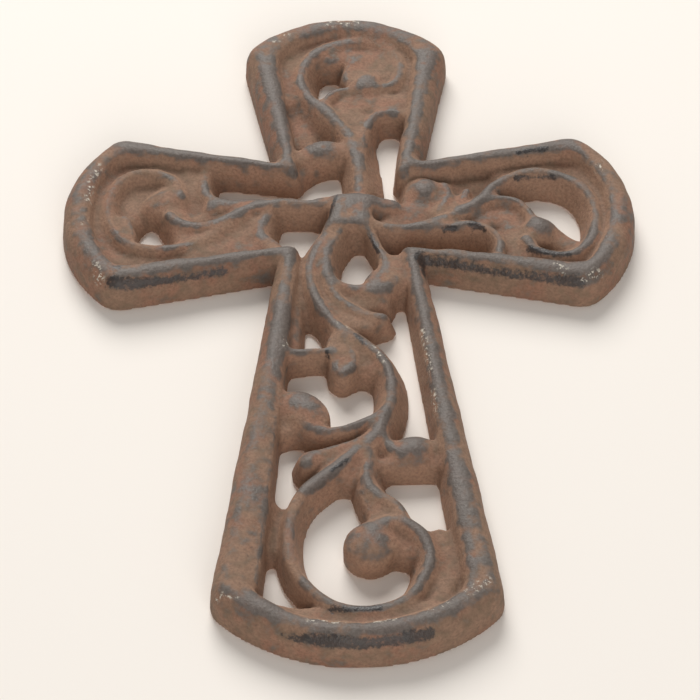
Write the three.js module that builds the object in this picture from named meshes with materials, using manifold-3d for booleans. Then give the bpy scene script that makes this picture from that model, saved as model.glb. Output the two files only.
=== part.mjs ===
// Cast iron wall cross: one openwork casting with flared arms, a raised rim and a vine scroll in each arm.
// It is drawn lying on its back: x to the right, y up the cross, z out of the front, flat back at z = 0.
// At the end it is stood up as it hangs: +Z up, front facing -Y, origin on the back face at the crossing.

import * as THREE from 'three';
import { mergeVertices } from 'three/addons/utils/BufferGeometryUtils.js';
import Module from 'manifold-3d';

// Driving dimensions, in millimetres

// Outline of the casting at its back. Each arm flares from the crotch to its shoulder and ends in an arc.
const OUTER_CROSS = {
  crotch: 15.7,
  corner: 2.8,
  top: { half: 22.6, shoulder: 49.9, tip: 61 },
  side: { half: 22.9, shoulder: 48.8, tip: 60 },
  foot: { half: 28, shoulder: 101.2, tip: 113.8 },
};

// Outline of the opening inside the rim, measured just under the rim's crest
const OPENING = {
  crotch: 11,
  corner: 3,
  top: { half: 15.3, shoulder: 47.6, tip: 55.2 },
  side: { half: 16.8, shoulder: 47.6, tip: 54 },
  foot: { half: 20.6, shoulder: 99.5, tip: 108.2 },
};

const RIM_HEIGHT = 8;
const STEM_HEIGHT = 6.9;

// Rim profile as [inset from the outline, height]: a drafted wall with a rounded shoulder
const OUTER_PROFILE = [[0, 0], [0.3, 4.6], [0.9, 6.2], [2, 7.5], [3.2, RIM_HEIGHT]];
const INNER_PROFILE = [[1.3, 0], [0.2, 6.6], [-0.3, 7.4], [-1.2, 7.9], [-2.4, RIM_HEIGHT]];

const CREST_ROUND = 0.35; // how far the edges of a stem's crest lie below its middle
const END_TAPER = 0.45; // size of a stem's tip against its full section
const BEND_LIMIT = 0.85; // widest flank on the inside of a bend, against the bend's radius
const SINK = 1; // how far the forms start below the back before the back is cut flat

// Fineness of the facets
const CORNER_STEPS = 4;
const ARC_STEPS = 12;
const STEM_STEP = 4.2;
const BERRY_SIDES = 10;
const BERRY_RINGS = 3;

// Stems, leaves and the low fills between them. Each follows a smooth curve through a few points.
// crest is the half width of its top; left and right are its half widths at the back, seen along the curve.
// A pair or more of values in a list is spread evenly along the curve.
const LOWER_ARM = [
  {
    name: 'main stem and scroll',
    path: [
      [-3, -4], [-6.5, -10], [-8.4, -17], [-7, -25], [-3.3, -32], [1.8, -36.8], [6, -41.5], [7.6, -48.5],
      [6.4, -56], [3, -63], [-4.4, -70.6], [-10.8, -77.8], [-12.9, -87], [-11.4, -96], [-5, -103],
      [3, -104.6], [10, -101.2], [13.6, -93], [12, -86.2], [7.4, -83.2], [3, -85.4],
    ],
    crest: [0.8, 0.8, 0.8, 0.8, 0.9, 1.3, 0.9, 0.8, 0.8, 0.9, 1.2],
    left: [3.7, 3.7, 3.7, 3.7, 3.7, 2.6, 2.9, 3.5, 3.7, 3.7, 3.7],
    right: [3.7, 3.7, 2.4, 3.7, 3.7, 3.7, 2.8, 1.9, 3.2, 3.7, 3.7],
    height: STEM_HEIGHT,
  },
  {
    name: 'inner leaf',
    path: [[-2, -6], [-4.4, -11], [-5, -16], [-4, -22], [-1, -26.4], [3, -29], [6.6, -29.6]],
    crest: 0.9, left: [3.2, 3.2, 2.6], right: [3, 3, 2.4], height: [7.2, 6.8, 6.2],
  },
  {
    name: 'fill of the inner leaf',
    path: [[-5, -26.5], [-1, -30.4], [3.4, -31.6]],
    crest: 1.4, left: 2.6, right: [2.6, 2.6, 1.8], height: [5.6, 5.8, 5.4],
  },
  {
    name: 'hook around the corner lump',
    path: [[-4.8, -18], [-3, -20.2], [0, -21.6], [3.4, -22.5], [6.6, -22.2], [9, -19.5]],
    crest: 0.9, left: 2.2, right: 3, height: 6.5,
  },
  {
    name: 'fill between the corner lump and the leaf',
    path: [[1, -25], [6, -24.6]],
    crest: 1.8, left: 2.6, right: 3, height: 5,
  },
  {
    name: 'bridge from the corner lump to the rim',
    path: [[9.4, -13.5], [10.4, -20]],
    crest: 1.4, left: 2.6, right: 2.6, height: 5.8,
  },
  {
    name: 'corner stem',
    path: [[3, -3], [4.8, -8], [6.6, -12.5], [7.8, -17]],
    crest: 0.9, left: 3, right: 1.4, height: [7.4, 6.6, 6.4],
  },
  {
    name: 'hanging bud',
    path: [[-3, -33], [-1.2, -37], [0, -40.5], [-0.2, -43.6], [-2, -45.4]],
    crest: 0.8, left: [3.2, 3, 1.4], right: [3, 2.6, 1.4], height: 6.7,
  },
  {
    name: 'flat top of the bud',
    path: [[-3.4, -36.5], [-2.6, -43.8]],
    crest: 1.6, left: 2.6, right: 2.5, height: 6.3,
  },
  {
    name: 'fill beside the bud',
    path: [[1.6, -38], [3.2, -42.2]],
    crest: 1.8, left: 3.2, right: 3.2, height: 5.2,
  },
  {
    name: 'bar from the bud to the rim',
    path: [[-14, -39.6], [-4, -39.2]],
    crest: 0.8, left: 1.2, right: [2.2, 1.4], height: 6.7,
  },
  {
    name: 'fill beside the upper stem',
    path: [[-10, -15], [-9.2, -22.4]],
    crest: 1.2, left: 3, right: 3, height: 2.8,
  },
  {
    name: 'thickening of the left rim',
    path: [[-10.8, -21], [-11.6, -37]],
    crest: 0.8, left: 2, right: 1.6, height: 4.4,
  },
  {
    name: 'inner edge of the left rim',
    path: [[-12.2, -15], [-15.3, -50], [-17, -72], [-19.4, -98]],
    crest: 1, left: 1.6, right: 1.6, height: 7.2,
  },
  {
    name: 'left branch',
    path: [[6, -55.4], [2.5, -57.8], [-1.5, -59.5], [-5.5, -60.1], [-9, -58.8], [-12, -55.4]],
    crest: 0.8, left: 2.4, right: 2.2, height: [6.7, 6.5, 6],
  },
  {
    name: 'fill between the left bud and the rim',
    path: [[-13, -52.4], [-13, -58.5]],
    crest: 1.6, left: 2.4, right: 2.6, height: 4.8,
  },
  {
    name: 'left leaf',
    path: [[4, -61.5], [0, -63.4], [-4.5, -65.2], [-7.8, -66.8], [-9.4, -68.4]],
    crest: 0.8, left: 2.8, right: 2.6, height: 6.4,
  },
  {
    name: 'fill of the left leaf',
    path: [[-1, -66], [-8.8, -67]],
    crest: 2, left: 3.2, right: 3.6, height: 5.6,
  },
  {
    name: 'right branch',
    path: [[5, -60], [6.5, -64], [9, -66.5]],
    crest: 0.8, left: 2.4, right: 2.4, height: 6.4,
  },
  {
    name: 'bar from the right branch to the rim',
    path: [[6, -68], [17, -67.6]],
    crest: 1.2, left: 2.6, right: 2, height: 5.2,
  },
  {
    name: 'shoulder of that bar',
    path: [[8.4, -64], [15.4, -64]],
    crest: 1.4, left: 2, right: 2.4, height: 5.6,
  },
  {
    name: 'hooked stem',
    path: [[3.4, -63.5], [2.5, -68], [2.2, -73], [3.9, -76.4], [6.8, -78.4], [8.7, -81.2]],
    crest: 0.8, left: [2.6, 3.6, 4.2, 3.8, 2.6], right: [2.4, 2.6, 3], height: 6.6,
  },
  {
    name: 'fill beside the hooked stem',
    path: [[0.5, -65.5], [-0.6, -70]],
    crest: 1.5, left: 3.2, right: 3.4, height: [5.8, 5.2],
  },
  {
    name: 'fill under the hooked stem',
    path: [[2.6, -75], [4.6, -81.5]],
    crest: 1.8, left: 3.2, right: 3, height: 5.4,
  },
  {
    name: 'fill left of the scroll',
    path: [[-16.8, -77.4], [-16.8, -86.8]],
    crest: 1.5, left: 3.2, right: 3.2, height: 3,
  },
  {
    name: 'fill right of the scroll',
    path: [[15.8, -85.6], [17, -95], [15, -102.6]],
    crest: 1.8, left: 3.2, right: 3.2, height: [4.6, 4.8, 5.4],
  },
  {
    name: 'fill at the lower left corner',
    path: [[-15.4, -103.2], [-8.5, -105]],
    crest: 1.2, left: 2.4, right: 2.4, height: 5.2,
  },
  {
    name: 'fill under the scroll',
    path: [[-9, -105.5], [0, -107.3], [13, -104.3]],
    crest: 1.8, left: 3.2, right: 3.2, height: 5.9,
  },
  {
    name: 'fill inside the scroll',
    path: [[7.2, -86.4], [9.6, -88.4]],
    crest: 1.8, left: 3.2, right: 3.2, height: 4.6,
  },
];

const TOP_ARM = [
  {
    name: 'stem and scroll',
    path: [
      [2, 2], [2.2, 10], [1.4, 17], [0.6, 22], [-1.5, 26], [-5, 31], [-8.3, 35.5], [-10, 40.5], [-9, 46],
      [-5.5, 50.6], [0, 52.8], [5.5, 52.9], [9.8, 50.4], [12, 45.5], [11, 40.5], [7.5, 38.4], [3.5, 38.2],
    ],
    crest: 0.9, left: [3.4, 3.6, 4.8, 3.4, 3.4, 3.4], right: [5.7, 5.9, 4, 4.2, 3.6, 3.6], height: 6.7,
  },
  {
    name: 'edge of the leaf',
    path: [[0.6, 23.5], [-3.2, 29.2], [-4.7, 33.6], [-3, 36.8], [1, 38], [5, 38.2]],
    crest: 0.8, left: 1.2, right: 3.4, height: 6.6,
  },
  {
    name: 'fill of the leaf',
    path: [[2.6, 27.6], [0.8, 33.4], [10.5, 34]],
    crest: 2.6, left: 3.8, right: 4, height: 5.8,
  },
  {
    name: 'hook to the right rim',
    path: [[2.6, 13], [3, 20], [3.9, 25.8], [6, 29.6], [9, 30.6], [13, 29.8]],
    crest: 0.8, left: 2.5, right: 2.6, height: 6.5,
  },
  {
    name: 'floor inside the scroll',
    path: [[2.8, 42.4], [4, 45.4], [8, 44.6]],
    crest: 3.6, left: 4.6, right: 4.4, height: 6,
  },
  {
    name: 'floor at the head of the scroll',
    path: [[-3.6, 49], [7.5, 49]],
    crest: 1.8, left: 3.4, right: 3.6, height: 5.7,
  },
  {
    name: 'fill between the scroll and the rim',
    path: [[-13.2, 36], [-12.8, 46], [-8, 53], [3, 55.6], [11, 52.5], [13.5, 46], [13.2, 33]],
    crest: 2, left: 4.2, right: 4.2, height: 5,
  },
  {
    name: 'deep fill beside the stem',
    path: [[-11, 34], [-8.5, 24]],
    crest: 1.5, left: 3.4, right: 3.4, height: 3,
  },
  {
    name: 'bridge from the bud to the rim',
    path: [[-11.5, 16.8], [-5, 19.2]],
    crest: 1.6, left: 3, right: 3.2, height: 5.8,
  },
  {
    name: 'bridge from the bud to the stem',
    path: [[-4.5, 19.4], [0.5, 19.4]],
    crest: 1.6, left: 2.8, right: 3.4, height: 6,
  },
  {
    name: 'web under the bud',
    path: [[-11.5, 12.8], [-8, 15.8]],
    crest: 1, left: 2.2, right: 2.2, height: 4,
  },
  {
    name: 'inner edge of the right rim',
    path: [[11.4, 11.6], [12.6, 23]],
    crest: 0.8, left: 1.6, right: 1.6, height: 7.2,
  },
];

const LEFT_ARM = [
  {
    name: 'stem',
    path: [
      [-2, 2.2], [-10, 2.6], [-16, 2.4], [-20.5, 1.2], [-25, -1.2], [-30, -3.8], [-34.5, -3.2], [-37.5, -0.5],
    ],
    crest: 0.9, left: [3, 2.6, 2, 2], right: 1.8, height: STEM_HEIGHT,
  },
  {
    name: 'scroll',
    path: [
      [-22, -0.5], [-26, -4], [-30, -7.4], [-35, -9.6], [-40.5, -10.1], [-46, -8.2], [-49.4, -3],
      [-50.4, 2.5], [-49, 8.5], [-45.3, 12], [-40.5, 12.2], [-36.4, 9.6], [-35.2, 5.5],
    ],
    crest: 0.9, left: 3.2, right: 3.6, height: 6.5,
  },
  {
    name: 'floor of the scroll',
    path: [[-46.2, 1], [-45, 7.4], [-40.5, 8]],
    crest: 1.8, left: 3.8, right: 4, height: 3.6,
  },
  {
    name: 'swelling inside the scroll',
    path: [[-46.8, -1], [-45.4, -5.4]],
    crest: 1.2, left: 2, right: 3, height: 6,
  },
  {
    name: 'floor at the heart of the scroll',
    path: [[-41, 4.2], [-36.5, 2.4]],
    crest: 2, left: 4, right: 3.8, height: 4.9,
  },
  {
    name: 'floor right of the hole',
    path: [[-35.6, -0.5], [-33.6, -6.4]],
    crest: 2, left: 4, right: 4.2, height: 5.4,
  },
  {
    name: 'fan under the stem',
    path: [[-19.5, -3.6], [-31, -9.4]],
    crest: 2.8, left: 5, right: 5, height: 5.4,
  },
  {
    name: 'foot of the fan',
    path: [[-16.5, -9], [-32, -12.4]],
    crest: 2, left: 3.4, right: 3.4, height: 5.6,
  },
  {
    name: 'leaf to the lower rim',
    path: [[-17, -0.2], [-18.6, -4], [-17.4, -8], [-14.4, -11.4]],
    crest: 1.1, left: 3, right: 2.6, height: 6.2,
  },
  {
    name: 'inner edge of the lower rim',
    path: [[-13, -12.4], [-46.5, -17]],
    crest: 1, left: 1.6, right: 1.6, height: 7.3,
  },
  {
    name: 'leaf to the upper rim',
    path: [[-30, 13], [-30.4, 8.5], [-29, 5], [-25.4, 2.6]],
    crest: 1, left: 3, right: 3.2, height: 6,
  },
  {
    name: 'web behind the stem',
    path: [[-29, 2.4], [-20.5, 3.1], [-12, 3.1]],
    crest: 1.2, left: 2, right: 2, height: 6,
  },
  {
    name: 'floor under the web',
    path: [[-31, -0.6], [-26, 1]],
    crest: 1.4, left: 2.4, right: 2.4, height: 4.8,
  },
  {
    name: 'fill between the leaf and the scroll',
    path: [[-33, 12], [-32, 1]],
    crest: 1.8, left: 3.6, right: 3.6, height: [5.2, 4.8, 3.8],
  },
  {
    name: 'fill between the scroll and the rim',
    path: [[-34, 13.2], [-46.5, 14], [-52, 6], [-52.2, -5], [-48.5, -12], [-38, -12.6], [-28, -11.5]],
    crest: 1.8, left: 3.6, right: 3.6, height: 4.7,
  },
];

const RIGHT_ARM = [
  {
    name: 'stem and scroll',
    path: [
      [4, -3], [9, -4.6], [15, -4], [20, -1.8], [25, 0.8], [28, 4.2], [31, 8], [35.5, 10.9], [40.5, 11.7],
      [46, 10], [50, 5.6], [51.4, -0.5], [50.3, -7.5], [47, -11.8], [43, -12.8], [38.5, -11.4], [36.4, -8.4],
    ],
    crest: 0.9, left: 3, right: 3.2, height: 6.8,
  },
  {
    name: 'branch to the berry',
    path: [[24, 0.4], [28, 2.8], [31.5, 4], [35, 3.2], [37.3, 0.2], [38.7, -3.2]],
    crest: 0.8, left: 2.2, right: 2.6, height: 6.6,
  },
  {
    name: 'hook to the lower rim',
    path: [[16, -4.6], [21, -4.3], [25.5, -3.6], [29.3, -5.4], [31, -9], [30.3, -14]],
    crest: 0.8, left: 2.4, right: 2.8, height: 6.7,
  },
  {
    name: 'fill between the hook and the berry',
    path: [[28.5, -0.6], [32.4, -0.5], [34.4, -5], [35.5, -11]],
    crest: 2.2, left: 3.6, right: 4, height: 5,
  },
  {
    name: 'fill under the berry',
    path: [[40.4, -3.8], [44.2, -7.2], [46.8, -9.6]],
    crest: 1.8, left: 3.2, right: 4.4, height: 4.9,
  },
  {
    name: 'fill at the root',
    path: [[9, -2], [13, 0], [21, 3.6]],
    crest: 2.4, left: 4.8, right: 4.2, height: 4.8,
  },
  {
    name: 'web from the root to the upper rim',
    path: [[13, 2], [13.6, 9]],
    crest: 1.6, left: 3.2, right: 3, height: 5,
  },
  {
    name: 'first leaflet',
    path: [[20.4, 8.6], [20.8, 5.4], [18.8, 0.6]],
    crest: 0.8, left: 2, right: 2, height: 6.2,
  },
  {
    name: 'second leaflet',
    path: [[24.8, 6.8], [23.6, 3.6], [21.8, 0.4]],
    crest: 0.8, left: 2, right: 2, height: 6.2,
  },
  {
    name: 'deep fill under the upper rim',
    path: [[20, 9.6], [30, 10.8]],
    crest: 1.8, left: 4, right: 4.2, height: 3.6,
  },
  {
    name: 'fill between the scroll and the rim',
    path: [[32, 12.5], [46, 13.6], [52.8, 6], [53, -4], [50, -11.2], [44, -14.2], [34, -13.3]],
    crest: 1.6, left: 3.5, right: 3.5, height: 4.7,
  },
  {
    name: 'inner edge of the lower rim',
    path: [[20, -13.3], [46.5, -17]],
    crest: 1, left: 1.4, right: 1.6, height: 7.3,
  },
];

const CROSSING = [
  {
    name: 'band across the boss',
    path: [[-5.5, 3.2], [0, 2.4], [9, 2.6]],
    crest: 1.6, left: 2.2, right: 3.4, height: [6.4, 7.6, 6.4],
  },
];

// Boss where the stems cross: the corners of its flat top, and its profile as [inset from them, height]
const BOSS = [[5.2, 4], [-2.8, 4], [-4.8, -5], [3.8, -5.4]];
const BOSS_PROFILE = [[-1.5, 0], [0, 7.2], [0.8, 7.8], [1.8, RIM_HEIGHT]];

// Berries, buds and rounded ends: a low oval wall under a dome.
// The first radius lies along the x axis, turned by so many degrees.
const BERRIES = [
  {
    name: 'end of the lower scroll',
    at: [2.6, -87.9], radius: [5.2, 5.2], turn: 0, wall: 4, height: 7.1,
  },
  {
    name: 'berry at the lower right rim',
    at: [11.7, -64.9], radius: [3.7, 3.3], turn: 0, wall: 4.4, height: 7,
  },
  {
    name: 'bud at the lower left rim',
    at: [-9.6, -54.1], radius: [6.2, 4.2], turn: -48, wall: 3.6, height: 7.2,
  },
  {
    name: 'corner lump',
    at: [6.6, -19.3], radius: [5.2, 3.7], turn: 52, wall: 4.4, height: 6.9,
  },
  {
    name: 'berry of the top scroll',
    at: [4.5, 40.2], radius: [2.8, 2.6], turn: 0, wall: 5.2, height: 7.3,
  },
  {
    name: 'bud beside the top stem',
    at: [-5.4, 19.1], radius: [4.8, 3.7], turn: 0, wall: 3, height: 6.9,
  },
  {
    name: 'end of the left scroll',
    at: [-38, 4.8], radius: [3.8, 4.4], turn: 0, wall: 3, height: 6.5,
  },
  {
    name: 'berry of the right scroll',
    at: [39.4, -5], radius: [3.5, 3.3], turn: 0, wall: 4.4, height: 7.2,
  },
  {
    name: 'bud at the root of the right arm',
    at: [16, 7.2], radius: [4, 3.7], turn: 20, wall: 3, height: 6.8,
  },
];

const IRON = new THREE.MeshStandardMaterial({ color: 0x77594a, roughness: 0.75, metalness: 0.25 });

const wasm = await Module();
wasm.setup();

// Solids for joining and cutting

function toSolid(geometry) {
  geometry.deleteAttribute('normal');
  geometry.deleteAttribute('uv');
  const merged = mergeVertices(geometry);
  const vertProperties = new Float32Array(merged.attributes.position.array);
  const triVerts = new Uint32Array(merged.index.array);
  return new wasm.Manifold(new wasm.Mesh({ numProp: 3, vertProperties, triVerts }));
}

function toGeometry(solid) {
  const mesh = solid.getMesh();
  const geometry = new THREE.BufferGeometry();
  geometry.setAttribute('position', new THREE.BufferAttribute(mesh.vertProperties, 3));
  geometry.setIndex(new THREE.BufferAttribute(mesh.triVerts, 1));
  geometry.computeVertexNormals();
  return geometry;
}

// A closed skin through rings of equally many points. contour is the flat shape that closes both ends.
function loft(rings, contour) {
  const count = contour.length;
  const position = rings.flat().flatMap((point) => [point.x, point.y, point.z]);
  const index = [];
  for (let ring = 0; ring < rings.length - 1; ring += 1) {
    for (let i = 0; i < count; i += 1) {
      const a = ring * count + i;
      const b = ring * count + ((i + 1) % count);
      index.push(a, b, b + count, a, b + count, a + count);
    }
  }
  const last = (rings.length - 1) * count;
  for (const [a, b, c] of THREE.ShapeUtils.triangulateShape(contour, [])) {
    index.push(a, c, b, last + a, last + b, last + c);
  }
  const geometry = new THREE.BufferGeometry();
  geometry.setAttribute('position', new THREE.Float32BufferAttribute(position, 3));
  geometry.setIndex(index);
  return toSolid(geometry);
}

// The flared cross

// One arm pointing up, from its right corner over the end arc to the crotch on its left
function armOutline({ half, shoulder, tip }, { crotch, corner }) {
  const rise = tip - shoulder;
  const radius = (half ** 2 + rise ** 2) / (2 * rise);
  const spread = Math.asin(half / radius) - corner / radius;
  const upright = Math.PI / 2;
  const arc = new THREE.EllipseCurve(0, tip - radius, radius, radius, upright - spread, upright + spread);
  const flank = new THREE.Vector2(half - crotch, shoulder - crotch).normalize();
  const rightCorner = new THREE.Vector2(half, shoulder);
  const leftCorner = new THREE.Vector2(-half, shoulder);
  const rightFlank = rightCorner.clone().addScaledVector(flank, -corner);
  const leftFlank = new THREE.Vector2(-rightFlank.x, rightFlank.y);
  const rightRound = new THREE.QuadraticBezierCurve(rightFlank, rightCorner, arc.getPoint(0));
  const leftRound = new THREE.QuadraticBezierCurve(arc.getPoint(1), leftCorner, leftFlank);
  return [
    ...rightRound.getPoints(CORNER_STEPS),
    ...arc.getPoints(ARC_STEPS).slice(1, -1),
    ...leftRound.getPoints(CORNER_STEPS),
    new THREE.Vector2(-crotch, crotch),
  ];
}

function crossOutline(cross) {
  const centre = new THREE.Vector2();
  const arms = [cross.top, cross.side, cross.foot, cross.side];
  return arms.flatMap((arm, quarter) => {
    const turn = (quarter * Math.PI) / 2;
    return armOutline(arm, cross).map((point) => point.rotateAround(centre, turn));
  });
}

// Moves an outline inwards by the same distance along every edge
function insetOutline(outline, inset) {
  return outline.map((point, i) => {
    const before = point.clone().sub(outline.at(i - 1)).normalize();
    const after = outline[(i + 1) % outline.length].clone().sub(point).normalize();
    const inward = new THREE.Vector2(-before.y - after.y, before.x + after.x).normalize();
    const mitre = inward.dot(new THREE.Vector2(-before.y, before.x));
    return point.clone().addScaledVector(inward, inset / mitre);
  });
}

function stackOutline(outline, profile) {
  const rings = profile.map(([inset, height]) => (
    insetOutline(outline, inset).map(({ x, y }) => new THREE.Vector3(x, y, height))
  ));
  return loft(rings, outline);
}

function makeRim() {
  const [outerFoot] = OUTER_PROFILE;
  const innerFoot = INNER_PROFILE[0];
  const innerBrim = INNER_PROFILE.at(-1);
  const plate = stackOutline(crossOutline(OUTER_CROSS), [[outerFoot[0], -SINK], ...OUTER_PROFILE.slice(1)]);
  const opening = stackOutline(crossOutline(OPENING), [
    [innerFoot[0], -2 * SINK],
    ...INNER_PROFILE,
    [innerBrim[0], RIM_HEIGHT + SINK],
  ]);
  return plate.subtract(opening);
}

// Stems, leaves and fills

// The value of a single size, or of a list of sizes, at a share of the way along
function sizeAlong(size, share) {
  if (!Array.isArray(size)) return size;
  const place = share * (size.length - 1);
  const i = Math.min(Math.floor(place), size.length - 2);
  return THREE.MathUtils.lerp(size[i], size[i + 1], place - i);
}

// Half width at the foot of a flank, which keeps clear of the centre of a tight bend
function flankFoot(width, bend, crest, height) {
  const limited = bend > 0 ? Math.min(width, BEND_LIMIT / bend) : width;
  const slope = Math.max(limited - crest, 0) / (height - CREST_ROUND);
  return limited + slope * SINK;
}

// Places along a smooth curve through the path, with the curve's direction and bend there.
// A straight path needs only its two ends.
function stemStations(path) {
  const points = path.map(([x, y]) => new THREE.Vector3(x, y, 0));
  const curve = new THREE.CatmullRomCurve3(points, false, 'centripetal');
  const length = curve.getLength();
  const count = path.length > 2 ? Math.round(length / STEM_STEP) : 1;
  return curve.getSpacedPoints(count).map((point, i) => {
    const tangent = curve.getTangentAt(i / count);
    const before = curve.getTangentAt(Math.max(i - 0.5, 0) / count);
    const after = curve.getTangentAt(Math.min(i + 0.5, count) / count);
    const bend = (before.x * after.y - before.y * after.x) / (length / count);
    return { point, tangent, bend, share: i / count, scale: 1 };
  });
}

// Adds a small rounded tip past each end
function withTips(stations, reach) {
  const first = stations[0];
  const last = stations.at(-1);
  const head = first.point.clone().addScaledVector(first.tangent, -reach);
  const tail = last.point.clone().addScaledVector(last.tangent, reach);
  return [
    { ...first, point: head, scale: END_TAPER },
    ...stations,
    { ...last, point: tail, scale: END_TAPER },
  ];
}

// Section of a form at a station, as [distance across, height], from its left foot over the crest
function stemSection({ crest, left, right, height }, { bend, share, scale }) {
  const top = sizeAlong(height, share);
  const flat = sizeAlong(crest, share);
  const leftFoot = flankFoot(sizeAlong(left, share), bend, flat, top);
  const rightFoot = flankFoot(sizeAlong(right, share), -bend, flat, top);
  const edge = Math.min(flat, leftFoot, rightFoot);
  const shoulder = top - CREST_ROUND;
  return [
    [-leftFoot * scale, -SINK],
    [-edge * scale, shoulder * scale],
    [0, top * scale],
    [edge * scale, shoulder * scale],
    [rightFoot * scale, -SINK],
  ];
}

function makeStem(form) {
  const reach = Math.min(sizeAlong(form.left, 0), sizeAlong(form.right, 0)) * END_TAPER;
  const stations = withTips(stemStations(form.path), reach);
  const rings = stations.map((station) => {
    const { point, tangent } = station;
    return stemSection(form, station).map(([across, z]) => (
      new THREE.Vector3(point.x + across * tangent.y, point.y - across * tangent.x, z)
    ));
  });
  const contour = stemSection(form, stations[0]).map(([across, z]) => new THREE.Vector2(-across, z));
  return loft(rings, contour);
}

// Boss and berries

function makeBoss() {
  const [foot, ...rest] = BOSS_PROFILE;
  const outline = BOSS.map(([x, y]) => new THREE.Vector2(x, y));
  return stackOutline(outline, [[foot[0], -SINK], ...rest]);
}

// Turned as a round of radius 1, then stretched to its two radii
function makeBerry({ at, radius, turn, wall, height }) {
  const profile = [new THREE.Vector2(0, -SINK), new THREE.Vector2(1, -SINK)];
  for (let ring = 0; ring < BERRY_RINGS; ring += 1) {
    const angle = (ring / BERRY_RINGS) * (Math.PI / 2);
    const rise = (height - wall) * Math.sin(angle);
    profile.push(new THREE.Vector2(Math.cos(angle), wall + rise));
  }
  profile.push(new THREE.Vector2(0, height));
  const berry = new THREE.LatheGeometry(profile, BERRY_SIDES);
  berry.rotateX(Math.PI / 2);
  berry.scale(radius[0], radius[1], 1);
  berry.rotateZ(THREE.MathUtils.degToRad(turn));
  berry.translate(at[0], at[1], 0);
  return toSolid(berry);
}

// Everything below the back, cut away to leave the back flat. It reaches past all four arms.
function makeBackCut() {
  const width = 3 * OUTER_CROSS.side.tip;
  const length = 3 * OUTER_CROSS.foot.tip;
  const depth = 3 * SINK;
  const cut = new THREE.BoxGeometry(width, length, depth);
  cut.translate(0, 0, -depth / 2);
  return toSolid(cut);
}

function makeCasting() {
  const stems = [...LOWER_ARM, ...TOP_ARM, ...LEFT_ARM, ...RIGHT_ARM, ...CROSSING];
  let casting = makeRim();
  for (const stem of stems) casting = casting.add(makeStem(stem));
  for (const berry of BERRIES) casting = casting.add(makeBerry(berry));
  casting = casting.add(makeBoss());
  return casting.subtract(makeBackCut());
}

const casting = new THREE.Mesh(toGeometry(makeCasting()), IRON);
casting.name = 'cross_casting';
casting.rotation.x = Math.PI / 2;

const wallCross = new THREE.Group();
wallCross.add(casting);

export default wallCross;
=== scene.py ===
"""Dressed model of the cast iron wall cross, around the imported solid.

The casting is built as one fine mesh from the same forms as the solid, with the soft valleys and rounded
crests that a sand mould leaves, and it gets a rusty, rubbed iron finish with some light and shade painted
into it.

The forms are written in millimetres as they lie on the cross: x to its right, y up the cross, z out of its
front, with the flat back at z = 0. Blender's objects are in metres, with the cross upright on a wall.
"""

import math

import bpy
import numpy as np
from mathutils import Matrix, Vector, noise


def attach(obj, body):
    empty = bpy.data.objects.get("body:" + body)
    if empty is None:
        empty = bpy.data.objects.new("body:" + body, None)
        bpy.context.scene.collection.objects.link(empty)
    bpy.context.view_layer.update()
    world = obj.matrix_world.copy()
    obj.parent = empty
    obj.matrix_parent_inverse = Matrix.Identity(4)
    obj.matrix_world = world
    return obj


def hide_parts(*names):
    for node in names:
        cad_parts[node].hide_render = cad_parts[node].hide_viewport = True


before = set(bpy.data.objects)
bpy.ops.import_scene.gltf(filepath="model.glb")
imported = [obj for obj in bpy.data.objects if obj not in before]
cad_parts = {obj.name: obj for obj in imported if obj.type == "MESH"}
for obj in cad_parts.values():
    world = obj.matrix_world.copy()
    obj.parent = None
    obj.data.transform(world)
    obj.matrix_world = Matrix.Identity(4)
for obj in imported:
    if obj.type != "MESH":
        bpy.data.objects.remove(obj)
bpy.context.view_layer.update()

MM = 0.001

# Sizes of the casting, in millimetres

# Outline at the back. Each arm flares from the crotch to its shoulder and ends in an arc.
OUTER_CROSS = {
    "crotch": 15.7,
    "corner": 2.8,
    "top": {"half": 22.6, "shoulder": 49.9, "tip": 61},
    "side": {"half": 22.9, "shoulder": 48.8, "tip": 60},
    "foot": {"half": 28, "shoulder": 101.2, "tip": 113.8},
}

# Outline of the opening inside the rim, measured just under the rim's crest
OPENING = {
    "crotch": 11,
    "corner": 3,
    "top": {"half": 15.3, "shoulder": 47.6, "tip": 55.2},
    "side": {"half": 16.8, "shoulder": 47.6, "tip": 54},
    "foot": {"half": 20.6, "shoulder": 99.5, "tip": 108.2},
}

RIM_HEIGHT = 8
STEM_HEIGHT = 6.9

# Rim profile as (distance into the rim, height): a drafted wall, a rounded shoulder and the flat crest
OUTER_PROFILE = [(0, 0), (0.3, 4.6), (0.9, 6.2), (2, 7.5), (3.2, RIM_HEIGHT), (4.2, RIM_HEIGHT)]
INNER_PROFILE = [(-1.3, 0), (-0.2, 6.6), (0.3, 7.4), (1.2, 7.9), (2.4, RIM_HEIGHT), (3.6, RIM_HEIGHT)]

CREST_SOFT = 1.2  # rounding along the crests of stems
VALLEY_SOFT = 1.4  # filling of the valleys where forms meet
FORM_ROOM = 4  # room around the feet of a form in which it is blended with the rest
SOFTEN_ROUNDS = 1  # rounding of all edges, as the sand of the mould leaves them

# Fineness of the mesh
PITCH = 0.6
GRID_MARGIN = 2 * PITCH
GRID_BACK = -1.5 * PITCH  # puts the flat back midway between two layers of the grid
CURVE_STEP = 0.6
CORNER_STEPS = 6
ARC_STEPS = 24

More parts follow.
